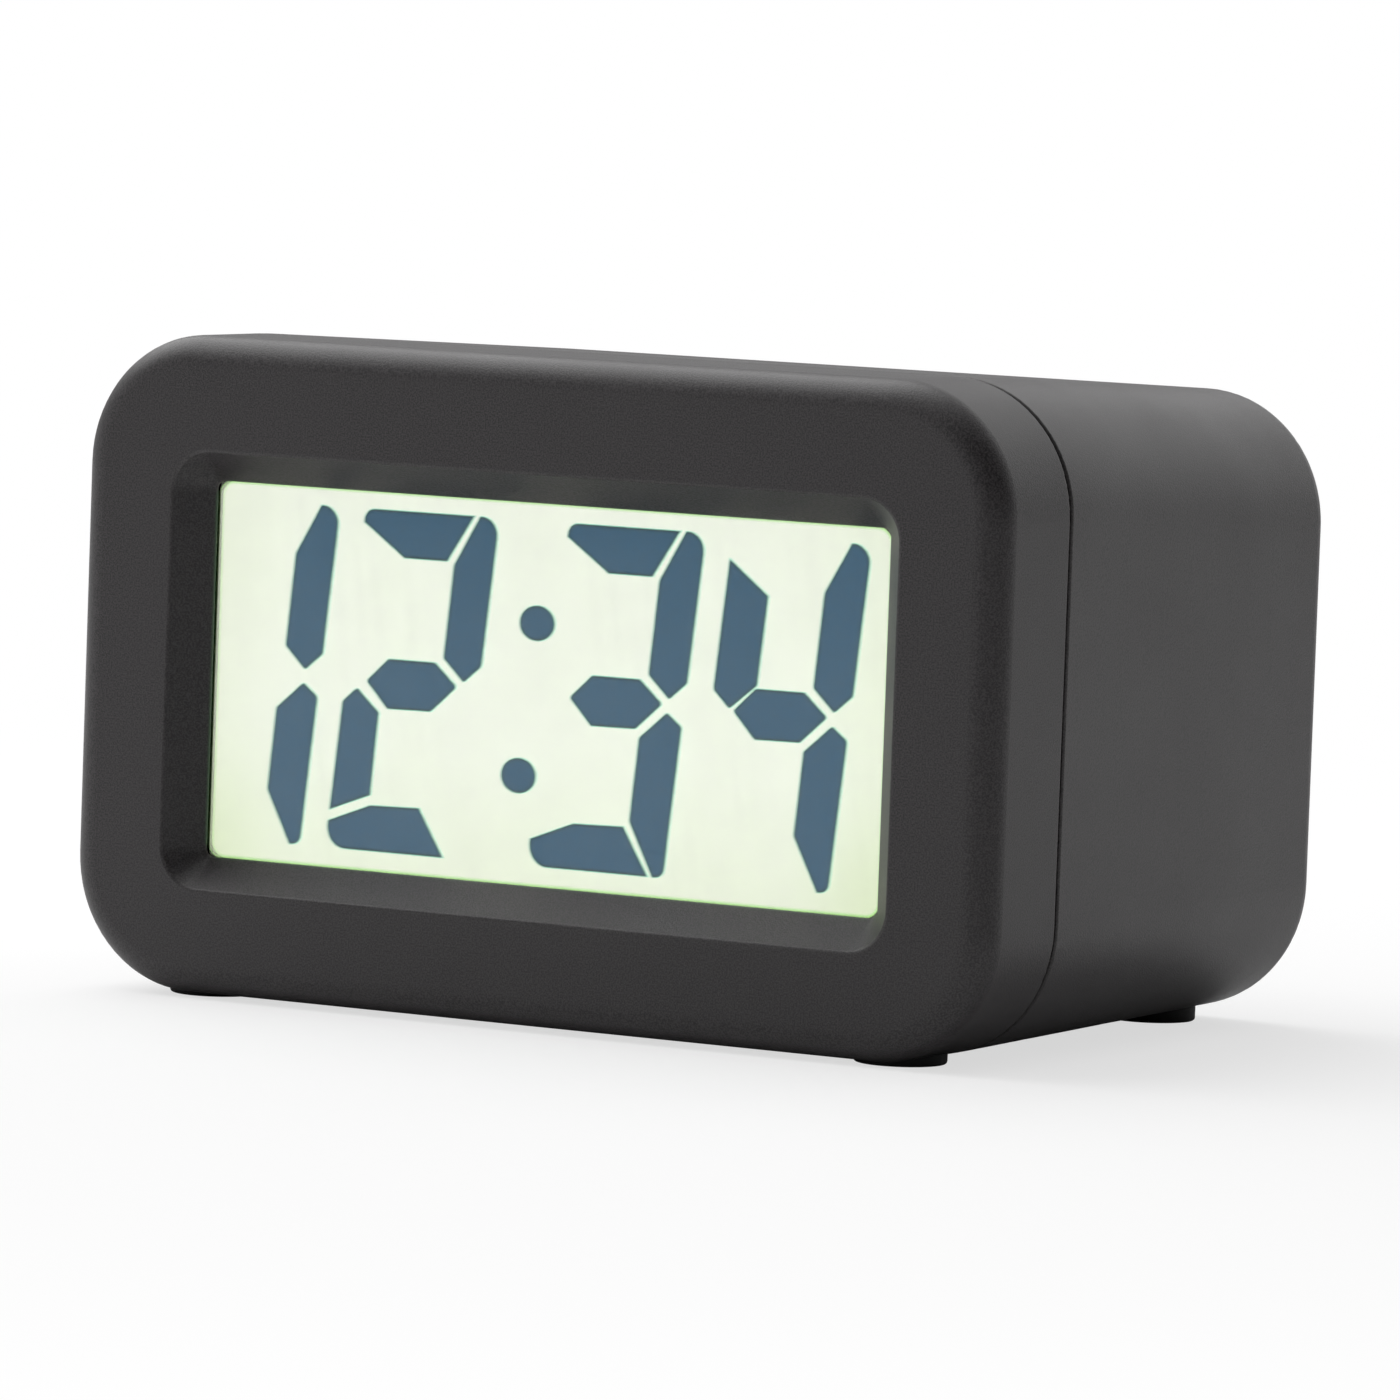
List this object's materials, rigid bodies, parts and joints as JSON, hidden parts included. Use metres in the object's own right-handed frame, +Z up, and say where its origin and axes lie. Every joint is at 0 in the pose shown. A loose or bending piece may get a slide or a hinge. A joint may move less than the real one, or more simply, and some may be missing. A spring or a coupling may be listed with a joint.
{
  "type": "digital desk clock",
  "caption": "Battery desk clock with a lit liquid-crystal display, a two-part charcoal case, rear keys, a snooze bar and rubber feet.",
  "frame": {"origin": "on the table, under the middle of the case", "axes": "+X to the right as seen from the front, +Y towards the back, +Z up"},
  "size_m": [0.128, 0.084, 0.0796],
  "materials": {
    "case_plastic": "soft-touch, fine grain",
    "key_plastic": "satin",
    "clear_pane": "clear, glossy",
    "display_glass": "clear",
    "polariser": "clear film",
    "segment_ink": "dark slate blue",
    "seal_resin": "cured resin",
    "foam_tape": "black tape",
    "light_guide_acrylic": "clear, frosted dots",
    "white_sheet": "white film",
    "frame_plastic": "white, fine matt",
    "striped_rubber": "striped",
    "circuit_board": "green lacquer over fibreglass",
    "led_resin": "yellow-green resin",
    "pin_metal": "tinned",
    "chip_resin": "black bonding resin",
    "can_metal": "drawn can",
    "capacitor_sleeve": "shrunk sleeve",
    "resistor_ceramic": "printed",
    "screw_steel": "zinc plated",
    "contact_steel": "nickel plated",
    "cell_jacket": "plain printed jacket",
    "switch_plastic": "moulded",
    "plunger_plastic": "moulded",
    "sounder_plastic": "moulded",
    "sounder_brass": "rolled",
    "red_insulation": "insulation",
    "black_insulation": "insulation",
    "ribbon_plastic": "grey ribbon",
    "foot_rubber": "soft, matt"
  },
  "bodies": {
    "clock_body": {"alarm_slide_switch": "switch_plastic", "backlight_board": "circuit_board", "backlight_leds": "led_resin", "backlight_pins": "pin_metal", "battery_springs": "contact_steel", "black_lead": "black_insulation", "board_screws": "screw_steel", "bridge_contact": "contact_steel", "capacitors": "capacitor_sleeve", "case_screws": "screw_steel", "clock_chip": "chip_resin", "conductive_strips": "striped_rubber", "diffuser_sheet": "white_sheet", "display_frame": "frame_plastic", "display_window": "clear_pane", "front_bezel": "case_plastic", "front_glass": "display_glass", "front_polariser": "polariser", "key_board": "circuit_board", "key_board_screws": "screw_steel", "key_ribbon": "ribbon_plastic", "key_switches": "switch_plastic", "lcd_digits": "segment_ink", "lcd_edge_seal": "seal_resin", "light_guide": "light_guide_acrylic", "lower_cell": "cell_jacket", "main_board": "circuit_board", "negative_contact": "contact_steel", "positive_contact": "contact_steel", "quartz_crystal": "can_metal", "rear_glass": "display_glass", "rear_polariser": "polariser", "rear_shell": "case_plastic", "red_lead": "red_insulation", "reflector_sheet": "white_sheet", "resistors": "resistor_ceramic", "rubber_feet": "foot_rubber", "snooze_board": "circuit_board", "snooze_board_screws": "screw_steel", "snooze_leads": "black_insulation", "snooze_switch": "switch_plastic", "sounder_case": "sounder_plastic", "sounder_disc": "sounder_brass", "sounder_leads": "black_insulation", "upper_cell": "cell_jacket", "window_tape": "foam_tape"},
    "time_key": {"time_key": "key_plastic", "time_plunger": "plunger_plastic"},
    "alarm_key": {"alarm_key": "key_plastic", "alarm_plunger": "plunger_plastic"},
    "hour_key": {"hour_key": "key_plastic", "hour_plunger": "plunger_plastic"},
    "minute_key": {"minute_key": "key_plastic", "minute_plunger": "plunger_plastic"},
    "snooze_bar": {"snooze_bar": "key_plastic", "snooze_plunger": "plunger_plastic"},
    "alarm_slide": {"alarm_slide_knob": "key_plastic"},
    "battery_door": {"battery_door": "case_plastic"}
  },
  "joints": [
    {"name": "time_press", "type": "slide", "parent": "clock_body", "child": "time_key", "axis": [0, -1, 0], "range_m": [0, 0.0005], "stiffness_N_per_m": 1500, "springref_m": -0.0003},
    {"name": "alarm_press", "type": "slide", "parent": "clock_body", "child": "alarm_key", "axis": [0, -1, 0], "range_m": [0, 0.0005], "stiffness_N_per_m": 1500, "springref_m": -0.0003},
    {"name": "hour_press", "type": "slide", "parent": "clock_body", "child": "hour_key", "axis": [0, -1, 0], "range_m": [0, 0.0005], "stiffness_N_per_m": 1500, "springref_m": -0.0003},
    {"name": "minute_press", "type": "slide", "parent": "clock_body", "child": "minute_key", "axis": [0, -1, 0], "range_m": [0, 0.0005], "stiffness_N_per_m": 1500, "springref_m": -0.0003},
    {"name": "snooze_press", "type": "slide", "parent": "clock_body", "child": "snooze_bar", "axis": [0, 0, -1], "range_m": [0, 0.0005], "stiffness_N_per_m": 1500, "springref_m": -0.0003},
    {"name": "alarm_slide", "type": "slide", "parent": "clock_body", "child": "alarm_slide", "axis": [1, 0, 0], "range_m": [0, 0.004]},
    {"name": "battery_door_hinge", "type": "hinge", "parent": "clock_body", "child": "battery_door", "pos_m": [0, 0.041, 0.0093], "axis": [-1, 0, 0], "range_deg": [0, 90]}
  ]
}
